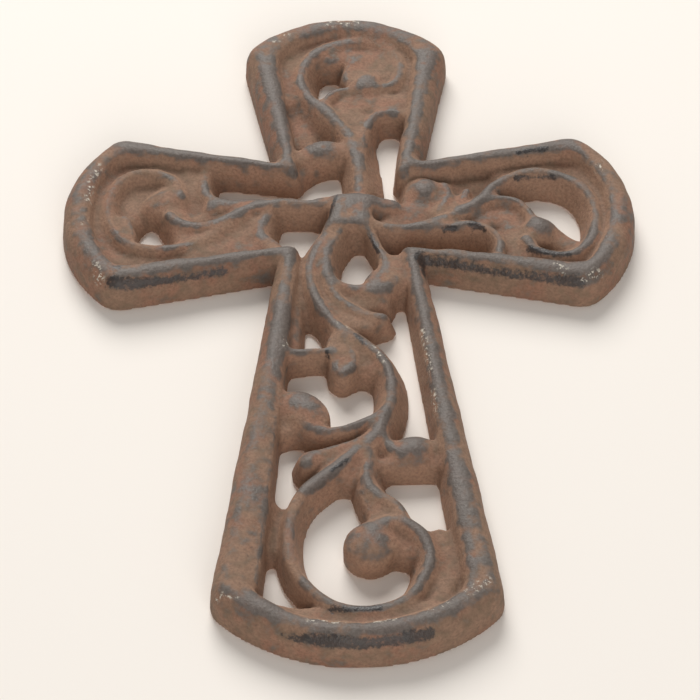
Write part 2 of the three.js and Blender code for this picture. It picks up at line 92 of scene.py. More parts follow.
# Stems, leaves and fills. Each follows a smooth curve through its path, with a crest this wide to each side
# at its height, and a foot this far out on the left and the right of the path. A list of sizes is spread
# evenly along the path.
LOWER_ARM = [
    {
        "name": "main stem and scroll",
        "path": [
            [-3, -4], [-6.5, -10], [-8.4, -17], [-7, -25], [-3.3, -32], [1.8, -36.8], [6, -41.5],
            [7.6, -48.5], [6.4, -56], [3, -63], [-4.4, -70.6], [-10.8, -77.8], [-12.9, -87],
            [-11.4, -96], [-5, -103], [3, -104.6], [10, -101.2], [13.6, -93], [12, -86.2],
            [7.4, -83.2], [3, -85.4],
        ],
        "crest": [0.8, 0.8, 0.8, 0.8, 0.9, 1.3, 0.9, 0.8, 0.8, 0.9, 1.2],
        "left": [3.7, 3.7, 3.7, 3.7, 3.7, 2.6, 2.9, 3.5, 3.7, 3.7, 3.7],
        "right": [3.7, 3.7, 2.4, 3.7, 3.7, 3.7, 2.8, 1.9, 3.2, 3.7, 3.7],
        "height": STEM_HEIGHT,
    },
    {
        "name": "inner leaf",
        "path": [[-2, -6], [-4.4, -11], [-5, -16], [-4, -22], [-1, -26.4], [3, -29], [6.6, -29.6]],
        "crest": 0.9, "left": [3.2, 3.2, 2.6], "right": [3, 3, 2.4], "height": [7.2, 6.8, 6.2],
    },
    {
        "name": "fill of the inner leaf",
        "path": [[-5, -26.5], [-1, -30.4], [3.4, -31.6]],
        "crest": 1.4, "left": 2.6, "right": [2.6, 2.6, 1.8], "height": [5.6, 5.8, 5.4],
    },
    {
        "name": "hook around the corner lump",
        "path": [[-4.8, -18], [-3, -20.2], [0, -21.6], [3.4, -22.5], [6.6, -22.2], [9, -19.5]],
        "crest": 0.9, "left": 2.2, "right": 3, "height": 6.5,
    },
    {
        "name": "fill between the corner lump and the leaf",
        "path": [[1, -25], [6, -24.6]],
        "crest": 1.8, "left": 2.6, "right": 3, "height": 5,
    },
    {
        "name": "bridge from the corner lump to the rim",
        "path": [[9.4, -13.5], [10.4, -20]],
        "crest": 1.4, "left": 2.6, "right": 2.6, "height": 5.8,
    },
    {
        "name": "corner stem",
        "path": [[3, -3], [4.8, -8], [6.6, -12.5], [7.8, -17]],
        "crest": 0.9, "left": 3, "right": 1.4, "height": [7.4, 6.6, 6.4],
    },
    {
        "name": "hanging bud",
        "path": [[-3, -33], [-1.2, -37], [0, -40.5], [-0.2, -43.6], [-2, -45.4]],
        "crest": 0.8, "left": [3.2, 3, 1.4], "right": [3, 2.6, 1.4], "height": 6.7,
    },
    {
        "name": "flat top of the bud",
        "path": [[-3.4, -36.5], [-2.6, -43.8]],
        "crest": 1.6, "left": 2.6, "right": 2.5, "height": 6.3,
    },
    {
        "name": "fill beside the bud",
        "path": [[1.6, -38], [3.2, -42.2]],
        "crest": 1.8, "left": 3.2, "right": 3.2, "height": 5.2,
    },
    {
        "name": "bar from the bud to the rim",
        "path": [[-14, -39.6], [-4, -39.2]],
        "crest": 0.8, "left": 1.2, "right": [2.2, 1.4], "height": 6.7,
    },
    {
        "name": "fill beside the upper stem",
        "path": [[-10, -15], [-9.2, -22.4]],
        "crest": 1.2, "left": 3, "right": 3, "height": 2.8,
    },
    {
        "name": "thickening of the left rim",
        "path": [[-10.8, -21], [-11.6, -37]],
        "crest": 0.8, "left": 2, "right": 1.6, "height": 4.4,
    },
    {
        "name": "inner edge of the left rim",
        "path": [[-12.2, -15], [-15.3, -50], [-17, -72], [-19.4, -98]],
        "crest": 1, "left": 1.6, "right": 1.6, "height": 7.2,
    },
    {
        "name": "left branch",
        "path": [[6, -55.4], [2.5, -57.8], [-1.5, -59.5], [-5.5, -60.1], [-9, -58.8], [-12, -55.4]],
        "crest": 0.8, "left": 2.4, "right": 2.2, "height": [6.7, 6.5, 6],
    },
    {
        "name": "fill between the left bud and the rim",
        "path": [[-13, -52.4], [-13, -58.5]],
        "crest": 1.6, "left": 2.4, "right": 2.6, "height": 4.8,
    },
    {
        "name": "left leaf",
        "path": [[4, -61.5], [0, -63.4], [-4.5, -65.2], [-7.8, -66.8], [-9.4, -68.4]],
        "crest": 0.8, "left": 2.8, "right": 2.6, "height": 6.4,
    },
    {
        "name": "fill of the left leaf",
        "path": [[-1, -66], [-8.8, -67]],
        "crest": 2, "left": 3.2, "right": 3.6, "height": 5.6,
    },
    {
        "name": "right branch",
        "path": [[5, -60], [6.5, -64], [9, -66.5]],
        "crest": 0.8, "left": 2.4, "right": 2.4, "height": 6.4,
    },
    {
        "name": "bar from the right branch to the rim",
        "path": [[6, -68], [17, -67.6]],
        "crest": 1.2, "left": 2.6, "right": 2, "height": 5.2,
    },
    {
        "name": "shoulder of that bar",
        "path": [[8.4, -64], [15.4, -64]],
        "crest": 1.4, "left": 2, "right": 2.4, "height": 5.6,
    },
    {
        "name": "hooked stem",
        "path": [[3.4, -63.5], [2.5, -68], [2.2, -73], [3.9, -76.4], [6.8, -78.4], [8.7, -81.2]],
        "crest": 0.8, "left": [2.6, 3.6, 4.2, 3.8, 2.6], "right": [2.4, 2.6, 3], "height": 6.6,
    },
    {
        "name": "fill beside the hooked stem",
        "path": [[0.5, -65.5], [-0.6, -70]],
        "crest": 1.5, "left": 3.2, "right": 3.4, "height": [5.8, 5.2],
    },
    {
        "name": "fill under the hooked stem",
        "path": [[2.6, -75], [4.6, -81.5]],
        "crest": 1.8, "left": 3.2, "right": 3, "height": 5.4,
    },
    {
        "name": "fill left of the scroll",
        "path": [[-16.8, -77.4], [-16.8, -86.8]],
        "crest": 1.5, "left": 3.2, "right": 3.2, "height": 3,
    },
    {
        "name": "fill right of the scroll",
        "path": [[15.8, -85.6], [17, -95], [15, -102.6]],
        "crest": 1.8, "left": 3.2, "right": 3.2, "height": [4.6, 4.8, 5.4],
    },
    {
        "name": "fill at the lower left corner",
        "path": [[-15.4, -103.2], [-8.5, -105]],
        "crest": 1.2, "left": 2.4, "right": 2.4, "height": 5.2,
    },
    {
        "name": "fill under the scroll",
        "path": [[-9, -105.5], [0, -107.3], [13, -104.3]],
        "crest": 1.8, "left": 3.2, "right": 3.2, "height": 5.9,
    },
    {
        "name": "fill inside the scroll",
        "path": [[7.2, -86.4], [9.6, -88.4]],
        "crest": 1.8, "left": 3.2, "right": 3.2, "height": 4.6,
    },
]

TOP_ARM = [
    {
        "name": "stem and scroll",
        "path": [
            [2, 2], [2.2, 10], [1.4, 17], [0.6, 22], [-1.5, 26], [-5, 31], [-8.3, 35.5], [-10, 40.5],
            [-9, 46], [-5.5, 50.6], [0, 52.8], [5.5, 52.9], [9.8, 50.4], [12, 45.5], [11, 40.5],
            [7.5, 38.4], [3.5, 38.2],
        ],
        "crest": 0.9, "left": [3.4, 3.6, 4.8, 3.4, 3.4, 3.4],
        "right": [5.7, 5.9, 4, 4.2, 3.6, 3.6], "height": 6.7,
    },
    {
        "name": "edge of the leaf",
        "path": [[0.6, 23.5], [-3.2, 29.2], [-4.7, 33.6], [-3, 36.8], [1, 38], [5, 38.2]],
        "crest": 0.8, "left": 1.2, "right": 3.4, "height": 6.6,
    },
    {
        "name": "fill of the leaf",
        "path": [[2.6, 27.6], [0.8, 33.4], [10.5, 34]],
        "crest": 2.6, "left": 3.8, "right": 4, "height": 5.8,
    },
    {
        "name": "hook to the right rim",
        "path": [[2.6, 13], [3, 20], [3.9, 25.8], [6, 29.6], [9, 30.6], [13, 29.8]],
        "crest": 0.8, "left": 2.5, "right": 2.6, "height": 6.5,
    },
    {
        "name": "floor inside the scroll",
        "path": [[2.8, 42.4], [4, 45.4], [8, 44.6]],
        "crest": 3.6, "left": 4.6, "right": 4.4, "height": 6,
    },
    {
        "name": "floor at the head of the scroll",
        "path": [[-3.6, 49], [7.5, 49]],
        "crest": 1.8, "left": 3.4, "right": 3.6, "height": 5.7,
    },
    {
        "name": "fill between the scroll and the rim",
        "path": [[-13.2, 36], [-12.8, 46], [-8, 53], [3, 55.6], [11, 52.5], [13.5, 46], [13.2, 33]],
        "crest": 2, "left": 4.2, "right": 4.2, "height": 5,
    },
    {
        "name": "deep fill beside the stem",
        "path": [[-11, 34], [-8.5, 24]],
        "crest": 1.5, "left": 3.4, "right": 3.4, "height": 3,
    },
    {
        "name": "bridge from the bud to the rim",
        "path": [[-11.5, 16.8], [-5, 19.2]],
        "crest": 1.6, "left": 3, "right": 3.2, "height": 5.8,
    },
    {
        "name": "bridge from the bud to the stem",
        "path": [[-4.5, 19.4], [0.5, 19.4]],
        "crest": 1.6, "left": 2.8, "right": 3.4, "height": 6,
    },
    {
        "name": "web under the bud",
        "path": [[-11.5, 12.8], [-8, 15.8]],
        "crest": 1, "left": 2.2, "right": 2.2, "height": 4,
    },
    {
        "name": "inner edge of the right rim",
        "path": [[11.4, 11.6], [12.6, 23]],
        "crest": 0.8, "left": 1.6, "right": 1.6, "height": 7.2,
    },
]

LEFT_ARM = [
    {
        "name": "stem",
        "path": [
            [-2, 2.2], [-10, 2.6], [-16, 2.4], [-20.5, 1.2], [-25, -1.2], [-30, -3.8], [-34.5, -3.2],
            [-37.5, -0.5],
        ],
        "crest": 0.9, "left": [3, 2.6, 2, 2], "right": 1.8, "height": STEM_HEIGHT,
    },
    {
        "name": "scroll",
        "path": [
            [-22, -0.5], [-26, -4], [-30, -7.4], [-35, -9.6], [-40.5, -10.1], [-46, -8.2], [-49.4, -3],
            [-50.4, 2.5], [-49, 8.5], [-45.3, 12], [-40.5, 12.2], [-36.4, 9.6], [-35.2, 5.5],
        ],
        "crest": 0.9, "left": 3.2, "right": 3.6, "height": 6.5,
    },
    {
        "name": "floor of the scroll",
        "path": [[-46.2, 1], [-45, 7.4], [-40.5, 8]],
        "crest": 1.8, "left": 3.8, "right": 4, "height": 3.6,
    },
    {
        "name": "swelling inside the scroll",
        "path": [[-46.8, -1], [-45.4, -5.4]],
        "crest": 1.2, "left": 2, "right": 3, "height": 6,
    },
    {
        "name": "floor at the heart of the scroll",
        "path": [[-41, 4.2], [-36.5, 2.4]],
        "crest": 2, "left": 4, "right": 3.8, "height": 4.9,
    },
    {
        "name": "floor right of the hole",
        "path": [[-35.6, -0.5], [-33.6, -6.4]],
        "crest": 2, "left": 4, "right": 4.2, "height": 5.4,
    },
    {
        "name": "fan under the stem",
        "path": [[-19.5, -3.6], [-31, -9.4]],
        "crest": 2.8, "left": 5, "right": 5, "height": 5.4,
    },
    {
        "name": "foot of the fan",
        "path": [[-16.5, -9], [-32, -12.4]],
        "crest": 2, "left": 3.4, "right": 3.4, "height": 5.6,
    },
    {
        "name": "leaf to the lower rim",
        "path": [[-17, -0.2], [-18.6, -4], [-17.4, -8], [-14.4, -11.4]],
        "crest": 1.1, "left": 3, "right": 2.6, "height": 6.2,
    },
    {
        "name": "inner edge of the lower rim",
        "path": [[-13, -12.4], [-46.5, -17]],
        "crest": 1, "left": 1.6, "right": 1.6, "height": 7.3,
    },
    {
        "name": "leaf to the upper rim",
        "path": [[-30, 13], [-30.4, 8.5], [-29, 5], [-25.4, 2.6]],
        "crest": 1, "left": 3, "right": 3.2, "height": 6,
    },
    {
        "name": "web behind the stem",
        "path": [[-29, 2.4], [-20.5, 3.1], [-12, 3.1]],
        "crest": 1.2, "left": 2, "right": 2, "height": 6,
    },
    {
        "name": "floor under the web",
        "path": [[-31, -0.6], [-26, 1]],
        "crest": 1.4, "left": 2.4, "right": 2.4, "height": 4.8,
    },
    {
        "name": "fill between the leaf and the scroll",
        "path": [[-33, 12], [-32, 1]],
        "crest": 1.8, "left": 3.6, "right": 3.6, "height": [5.2, 4.8, 3.8],
    },
    {
        "name": "fill between the scroll and the rim",
        "path": [[-34, 13.2], [-46.5, 14], [-52, 6], [-52.2, -5], [-48.5, -12], [-38, -12.6], [-28, -11.5]],
        "crest": 1.8, "left": 3.6, "right": 3.6, "height": 4.7,
    },
]

RIGHT_ARM = [
    {
        "name": "stem and scroll",
        "path": [
            [4, -3], [9, -4.6], [15, -4], [20, -1.8], [25, 0.8], [28, 4.2], [31, 8], [35.5, 10.9],
            [40.5, 11.7], [46, 10], [50, 5.6], [51.4, -0.5], [50.3, -7.5], [47, -11.8],
            [43, -12.8], [38.5, -11.4], [36.4, -8.4],
        ],
        "crest": 0.9, "left": 3, "right": 3.2, "height": 6.8,
    },
    {
        "name": "branch to the berry",
        "path": [[24, 0.4], [28, 2.8], [31.5, 4], [35, 3.2], [37.3, 0.2], [38.7, -3.2]],
        "crest": 0.8, "left": 2.2, "right": 2.6, "height": 6.6,
    },
    {
        "name": "hook to the lower rim",
        "path": [[16, -4.6], [21, -4.3], [25.5, -3.6], [29.3, -5.4], [31, -9], [30.3, -14]],
        "crest": 0.8, "left": 2.4, "right": 2.8, "height": 6.7,
    },
    {
        "name": "fill between the hook and the berry",
        "path": [[28.5, -0.6], [32.4, -0.5], [34.4, -5], [35.5, -11]],
        "crest": 2.2, "left": 3.6, "right": 4, "height": 5,
    },
    {
        "name": "fill under the berry",
        "path": [[40.4, -3.8], [44.2, -7.2], [46.8, -9.6]],
        "crest": 1.8, "left": 3.2, "right": 4.4, "height": 4.9,
    },
    {
        "name": "fill at the root",
        "path": [[9, -2], [13, 0], [21, 3.6]],
        "crest": 2.4, "left": 4.8, "right": 4.2, "height": 4.8,
    },
    {
        "name": "web from the root to the upper rim",
        "path": [[13, 2], [13.6, 9]],
        "crest": 1.6, "left": 3.2, "right": 3, "height": 5,
    },
    {
        "name": "first leaflet",
        "path": [[20.4, 8.6], [20.8, 5.4], [18.8, 0.6]],
        "crest": 0.8, "left": 2, "right": 2, "height": 6.2,
    },
    {
        "name": "second leaflet",
        "path": [[24.8, 6.8], [23.6, 3.6], [21.8, 0.4]],
        "crest": 0.8, "left": 2, "right": 2, "height": 6.2,
    },
    {
        "name": "deep fill under the upper rim",
        "path": [[20, 9.6], [30, 10.8]],
        "crest": 1.8, "left": 4, "right": 4.2, "height": 3.6,
    },
    {
        "name": "fill between the scroll and the rim",
        "path": [[32, 12.5], [46, 13.6], [52.8, 6], [53, -4], [50, -11.2], [44, -14.2], [34, -13.3]],
        "crest": 1.6, "left": 3.5, "right": 3.5, "height": 4.7,
    },
    {
        "name": "inner edge of the lower rim",
        "path": [[20, -13.3], [46.5, -17]],
        "crest": 1, "left": 1.4, "right": 1.6, "height": 7.3,
    },
]

CROSSING = [
    {
        "name": "band across the boss",
        "path": [[-5.5, 3.2], [0, 2.4], [9, 2.6]],
        "crest": 1.6, "left": 2.2, "right": 3.4, "height": [6.4, 7.6, 6.4],
    },
]

# Boss where the stems cross: the corners at the top of its wall, and its profile as (distance in, height)
BOSS = [(5.2, 4), (-2.8, 4), (-4.8, -5), (3.8, -5.4)]
BOSS_PROFILE = [(-1.5, 0), (0, 7.2), (0.8, 7.8), (1.8, RIM_HEIGHT)]

# Berries, buds and rounded ends: a low oval wall under a dome. The turn, in degrees, is that of the first
# radius from the x axis.
BERRIES = [
    {
        "name": "end of the lower scroll",
        "at": [2.6, -87.9], "radius": [5.2, 5.2], "turn": 0, "wall": 4, "height": 7.1,
    },
    {
        "name": "berry at the lower right rim",
        "at": [11.7, -64.9], "radius": [3.7, 3.3], "turn": 0, "wall": 4.4, "height": 7,
    },
    {
        "name": "bud at the lower left rim",
        "at": [-9.6, -54.1], "radius": [6.2, 4.2], "turn": -48, "wall": 3.6, "height": 7.2,
    },
    {
        "name": "corner lump",
        "at": [6.6, -19.3], "radius": [5.2, 3.7], "turn": 52, "wall": 4.4, "height": 6.9,
    },
    {
        "name": "berry of the top scroll",
        "at": [4.5, 40.2], "radius": [2.8, 2.6], "turn": 0, "wall": 5.2, "height": 7.3,
    },
    {
        "name": "bud beside the top stem",
        "at": [-5.4, 19.1], "radius": [4.8, 3.7], "turn": 0, "wall": 3, "height": 6.9,
    },
    {
        "name": "end of the left scroll",
        "at": [-38, 4.8], "radius": [3.8, 4.4], "turn": 0, "wall": 3, "height": 6.5,
    },
    {
        "name": "berry of the right scroll",
        "at": [39.4, -5], "radius": [3.5, 3.3], "turn": 0, "wall": 4.4, "height": 7.2,
    },
    {
        "name": "bud at the root of the right arm",
        "at": [16, 7.2], "radius": [4, 3.7], "turn": 20, "wall": 3, "height": 6.8,
    },
]


def colour(red, green, blue):
    """A colour given as a screen shows it, from 0 to 255."""
    shares = np.array([red, green, blue]) / 255
    linear = np.where(shares <= 0.04045, shares / 12.92, ((shares + 0.055) / 1.055) ** 2.4)
    return (*linear, 1.0)


# Unevenness that the sand mould leaves
SWELL = 0.28
SWELL_SPAN = 8
LUMP = 0.12
LUMP_SPAN = 2.6
BACK_MARGIN = 1.5  # height above the flat back at which the unevenness is full

# Dark streaks along rubbed shoulders, and painted shade in one crevice, as (path, half width)
DARK_STREAKS_AND_CREVICE_SHADE = [
    ([(-49, -20.4), (-44, -20.8), (-35, -19.6), (-26, -17.3)], 1.1),
    ([(-48.2, -17.5), (-47.4, -17.5)], 0.8),
    ([(14.5, -15), (25, -17.6), (35, -20), (46.5, -21.8)], 1.8),
    ([(14.6, -15), (15.6, -18.5)], 1.2),
    ([(-19, -110.4), (-8, -112), (0, -112.8), (6, -112.4), (13, -110.6)], 1.2),
    ([(35.5, 9.7), (43, 9.9)], 0.8),
    ([(37, -11.3), (41, -12.7), (45, -13)], 0.8),
    ([(25.5, -4), (27.5, -5.5), (26.6, -7.2)], 1),
    ([(19.5, -5.3), (22, -5)], 0.6),
    ([(36, 16), (42, 17.2)], 0.6),
    ([(-5, -104.5), (4, -104.8)], 0.7),
    ([(-2.6, 3), (-4.6, -3)], 0.5),
    ([(4.4, -7.5), (5.8, -12)], 0.5),
    ([(-5, -39), (-5, -45)], 0.5),
    ([(0.6, -35.6), (2.4, -37.6)], 0.7),
    ([(-4.6, -71.2), (-1.6, -68.6)], 0.5),
    # Painted shade: a dark mark laid along the shaded crevice right of the lower scroll
    ([(16.4, -87), (18, -91)], 1),
]

# Stretches of the rim and the scrolls that have kept their rust, as (path, half width)
WHOLE_RUST = [
    ([(-20, 50), (-10, 56), (0, 58.5), (10, 56), (20, 50)], 3.5),
    ([(-50, 19), (-55.5, 9), (-57, 0), (-55.5, -9), (-50, -19)], 3),
    ([(50, 19), (55.5, 9), (57, 0), (55.5, -9)], 2),
    ([(-17.5, -42), (-19.5, -60), (-22, -80), (-24, -98)], 2.6),
    ([(-10, 49), (-4, 52), (5, 52.5), (11, 47)], 1.6),
    ([(-50, 2), (-48, 9), (-42, 12)], 1.8),
    ([(-11, -78), (-13.2, -87), (-11.8, -96)], 1.6),
]

# Patches with small pale chips and scuffs, as (path, half width)
PALE_CHIPS = [
    ([(-3.5, 57.6), (2.5, 58)], 1.3),
    ([(-15.5, 52), (-13, 53.6)], 0.9),
    ([(-52.5, 12.5), (-54, 7), (-54.4, 2.5)], 0.8),
    ([(-55, -2.5), (-55.2, -4.2)], 0.8),
    ([(-52.2, -16.5), (-51, -19.5)], 1),
    ([(52.8, 10.5), (53, 12.5)], 0.8),
    ([(42, -16.6), (43.5, -19)], 0.8),
    ([(47.5, -20.8), (50.5, -19.2)], 0.9),
    ([(20, -102.4), (24, -99.4)], 1),
    ([(13, -106), (16.5, -104.4)], 0.9),
    ([(-9, -108), (-3, -108.4)], 0.7),
    ([(2, -108.2), (7, -107.6)], 0.7),
    ([(-26, -101.6), (-22.5, -102.2)], 0.7),
    ([(-13.2, -37), (-13.4, -39)], 0.6),
    ([(-2.4, -32), (-1, -33.4)], 0.6),
    ([(4.4, -38.4), (6.4, -42.5)], 0.7),
    ([(14, -35), (15.4, -47)], 0.5),
    ([(15.6, -51), (16, -57)], 0.5),
]

# Limits of the wear and of the painted light and shade, as (low, high) between which it rises from none to
# all
TOP_FACING = (0.6, 1)  # how far a normal points forwards, on the flat tops
MARK_FACING = (0.1, 0.45)  # the same for streaks and chips
CREST_RELIEF = (0.03, 0.2)  # how far a crest stands above its surroundings
HOLLOW_RELIEF = (0.02, 0.25)  # how far a hollow lies below them
CREST_LEVEL = (4.5, 6)  # heights above the back
TOP_LEVEL = (6.2, 7.6)
STREAK_AND_SHADE_LEVEL = (4.8, 5.8)
CHIP_LEVEL = (4, 5.5)
RECESS_EDGE = (-1.5, 0.5)  # distance inside the opening

CREST_WEAR = 0.75
TOP_WEAR = 0.45
WEAR_SPARED = 0.5  # share of the wear that kept rust takes away
STROKE_FADE = (0.3, 1.4)  # shares of a stroke's half width where it starts and ends to fade
RELIEF_ROUNDS = 6  # rounds of averaging that give the surroundings of a vertex

# Colours of the finish, painted light and shade among them
RUST = colour(136, 108, 89)
RED_RUST = colour(138, 102, 83)
DULL_RUST = colour(117, 96, 78)
# Painted shade: darker colour laid in the hollows of the relief
HOLLOW_PAINTED_SHADE = colour(78, 58, 45)
# Painted light: paler colour laid on the walls of the recesses inside the rim
RECESS_PAINTED_LIGHT = colour(166, 132, 110)
WORN_IRON = colour(92, 86, 82)
# Near black for the dark streaks, also used as painted shade in one crevice
BLACK_IRON_AND_CREVICE_SHADE = colour(36, 34, 36)
PALE_CHIP = colour(196, 188, 174)

# Noises of the finish, as (span, detail, roughness)
PATCHES = (10, 3, 0.55)
MOTTLE = (2.4, 4, 0.65)
FLECKS = (0.8, 3, 0.65)
GRAIN = (0.6, 3, 0.6)

# Limits in the noises, as (low, high)
RED_LIMITS = (0.4, 0.6)
DULL_LIMITS = (0.42, 0.7)
CHIP_LIMITS = (0.54, 0.62)
SPECKLE_LIMITS = (0.3, 0.7)
SPECKLE_SHADES = (0.8, 1.15)

# How a painted mask is broken up: the weight of the noise, and limits of the sum as (low, high)
NOISE_WEIGHT = 2.2
WORN_LIMITS = (0.1, 0.9)
STREAK_AND_SHADE_LIMITS = (0.2, 0.9)

# Strength of each layer of the finish, painted light and shade among them
RECESS_LIGHT_SHARE = 0.55
HOLLOW_SHADE_SHARE = 0.3
WORN_SHARE = 0.9
STREAK_AND_SHADE_SHARE = 0.85

RUST_ROUGHNESS = 0.8
WORN_ROUGHNESS = 0.55
STREAK_AND_SHADE_ROUGHNESS = 0.42
SPECULAR = 0.4
PIT_STRENGTH = 0.4
PIT_DEPTH = 0.3
PIT_MOTTLE = 1.5  # weight of the mottle beside the grain in the pits

# Stage. The wall's side is in metres.
WALL = (0.86, 0.82, 0.775, 1)
WALL_SIDE = 1.2
WALL_GAP = 0.3
WALL_TOUCH = 1.0  # what lies this near the wall gets light through it
WORLD = (1.0, 0.985, 0.96, 1)
WORLD_STRENGTH = 0.32

# Lights, as (name, place in metres, size in metres, watts, tint)
LIGHTS = [
    ("key", (-0.15, -0.85, 0.9), 0.8, 16.5, (1.0, 0.98, 0.95)),
    ("fill", (0.15, -0.5, -1.02), 0.8, 5.5, (1.0, 0.97, 0.94)),
    ("back", (-0.5, 0.9, 0.4), 0.9, 10, (1.0, 0.98, 0.96)),
]

# Camera, fitted to the outline of the cross in the photograph
CAMERA_TILT = math.radians(47.27)
CAMERA_TURN = math.radians(1.27)
CAMERA_ROLL = math.radians(0.47)
CAMERA_AIM = (-0.35 * MM, 0, -33.59 * MM)
CAMERA_DISTANCE = 608.2 * MM
LENS = 154.6
SENSOR = 36


# Outlines and curves


def arm_outline(arm, cross):
    """One arm pointing up, from its right corner over the end arc to the crotch on its left."""
    half, shoulder, tip = arm["half"], arm["shoulder"], arm["tip"]
    crotch, corner = cross["crotch"], cross["corner"]
    rise = tip - shoulder
    radius = (half**2 + rise**2) / (2 * rise)
    spread = math.asin(half / radius) - corner / radius
    angles = np.linspace(-spread, spread, ARC_STEPS)
    arc = np.stack([-radius * np.sin(angles), tip - radius + radius * np.cos(angles)], axis=1)
    flank = np.array([half - crotch, shoulder - crotch])
    flank_end = np.array([half, shoulder]) - corner * flank / np.linalg.norm(flank)
    t = np.linspace(0, 1, CORNER_STEPS)[:, None]
    right_round = (1 - t) ** 2 * flank_end + 2 * t * (1 - t) * np.array([half, shoulder]) + t**2 * arc[0]
    left_round = (right_round * [-1, 1])[::-1]
    return np.concatenate([right_round, arc[1:-1], left_round, [[-crotch, crotch]]])


def cross_outline(cross):
    """The whole outline, counter-clockwise from the top arm."""
    arms = [cross["top"], cross["side"], cross["foot"], cross["side"]]
    quarters = []
    for quarter, arm in enumerate(arms):
        turn = quarter * math.pi / 2
        cos, sin = math.cos(turn), math.sin(turn)
        quarters.append(arm_outline(arm, cross) @ np.array([[cos, sin], [-sin, cos]]))
    return np.concatenate(quarters)


def inset_from(outline, x, y):
    """Distance inside a closed outline, negative outside."""
    nearest = np.full(x.shape, np.inf)
    inside = np.zeros(x.shape, bool)
    for (x0, y0), (x1, y1) in zip(outline, np.roll(outline, -1, axis=0)):
        dx, dy = x1 - x0, y1 - y0
        along = np.clip(((x - x0) * dx + (y - y0) * dy) / (dx**2 + dy**2), 0, 1)
        nearest = np.minimum(nearest, np.hypot(x - x0 - along * dx, y - y0 - along * dy))
        if dy != 0:
            inside ^= ((y0 > y) != (y1 > y)) & (x < x0 + dx * (y - y0) / dy)
    return np.where(inside, nearest, -nearest)


def smooth_curve(path):
    """Points about CURVE_STEP apart on a smooth curve through the path's points."""
    knots = np.array(path, float)
    padded = np.concatenate([[2 * knots[0] - knots[1]], knots, [2 * knots[-1] - knots[-2]]])
    pieces = []
    for before, start, end, after in zip(padded, padded[1:], padded[2:], padded[3:]):
        count = max(2, round(np.linalg.norm(end - start) / CURVE_STEP))
        t = np.linspace(0, 1, count, endpoint=False)[:, None]
        bend = 2 * before - 5 * start + 4 * end - after
        twist = 3 * start - before - 3 * end + after
        pieces.append(start + 0.5 * ((end - before) * t + bend * t**2 + twist * t**3))
    return np.concatenate([*pieces, knots[-1:]])


def nearest_on_curve(curve, x, y):
    """Distance to a curve, on which side of it, above 0 to its left, and the share of the way along it."""
    steps = np.diff(curve, axis=0)
    lengths = np.linalg.norm(steps, axis=1)
    starts = np.concatenate([[0], np.cumsum(lengths)])
    nearest = np.full(x.shape, np.inf)
    side = np.zeros(x.shape)
    share = np.zeros(x.shape)
    for (x0, y0), (dx, dy), length, start in zip(curve, steps, lengths, starts):
        along = np.clip(((x - x0) * dx + (y - y0) * dy) / length**2, 0, 1)
        gap_x = x - x0 - along * dx
        gap_y = y - y0 - along * dy
        gap = np.hypot(gap_x, gap_y)
        closer = gap < nearest
        nearest[closer] = gap[closer]
        side[closer] = (dx * gap_y - dy * gap_x)[closer]
        share[closer] = (start + along * length)[closer] / starts[-1]
    return nearest, side, share


# Depth fields: how far a point lies inside the metal, negative outside


def smooth_max(a, b, softness):
    """The larger of two values, rounded where they are about the same."""
    blend = np.clip(0.5 + 0.5 * (a - b) / softness, 0, 1)
    return b + (a - b) * blend + softness * blend * (1 - blend)


def size_along(size, share):
    """The value of a single size, or of a list of sizes, at a share of the way along."""
    if isinstance(size, list):
        return np.interp(share, np.linspace(0, 1, len(size)), size)
    return np.full(share.shape, float(size))


def profile_depth(inset, z, profile):
    """Depth under a profile that turns from a wall to a flat top."""
    depth = np.inf
    for (inset0, height0), (inset1, height1) in zip(profile, profile[1:]):
        run, rise = inset1 - inset0, height1 - height0
        line = ((inset - inset0) * rise - (z - height0) * run) / math.hypot(run, rise)
        depth = np.minimum(depth, line)
    return depth


def stem_depth(form, x, y, z):
    """Depth in a stem, leaf or fill: under its slanted flanks and its flat crest."""
    distance, side, share = nearest_on_curve(smooth_curve(form["path"]), x, y)
    top = size_along(form["height"], share)
    foot = np.where(side > 0, size_along(form["left"], share), size_along(form["right"], share))
    run = foot - size_along(form["crest"], share)
    slant = np.hypot(run, top)
    flank = ((foot - distance) * top / slant)[..., None] - z * (run / slant)[..., None]
    crown = top[..., None] - z
    return -smooth_max(-flank, -crown, CREST_SOFT)


def berry_depth(berry, x, y, z):
    """Depth in a berry: inside its oval wall and under its dome."""
    turn = math.radians(berry["turn"])
    off_x, off_y = x - berry["at"][0], y - berry["at"][1]
    along = off_x * math.cos(turn) + off_y * math.sin(turn)
    across = off_y * math.cos(turn) - off_x * math.sin(turn)
    from_axis = np.hypot(along / berry["radius"][0], across / berry["radius"][1])[..., None]
    crown = berry["height"] - berry["wall"]
    above = np.maximum(z - berry["wall"], 0)
    dome = (1 - np.hypot(from_axis, above / crown)) * crown
    return np.minimum(dome, (1 - from_axis) * min(berry["radius"]))


def softened(depth):
    """The field averaged with its neighbours, which rounds its edges."""
    for _ in range(SOFTEN_ROUNDS):
        for axis, count in enumerate(depth.shape):
            places = np.arange(count)
            before = depth.take(np.maximum(places - 1, 0), axis)
            after = depth.take(np.minimum(places + 1, count - 1), axis)
            depth = 0.5 * depth + 0.25 * (before + after)
    return depth


def window(axis, low, high):
    """The part of a grid's axis between two places."""
    return slice(*np.searchsorted(axis, [low, high]))


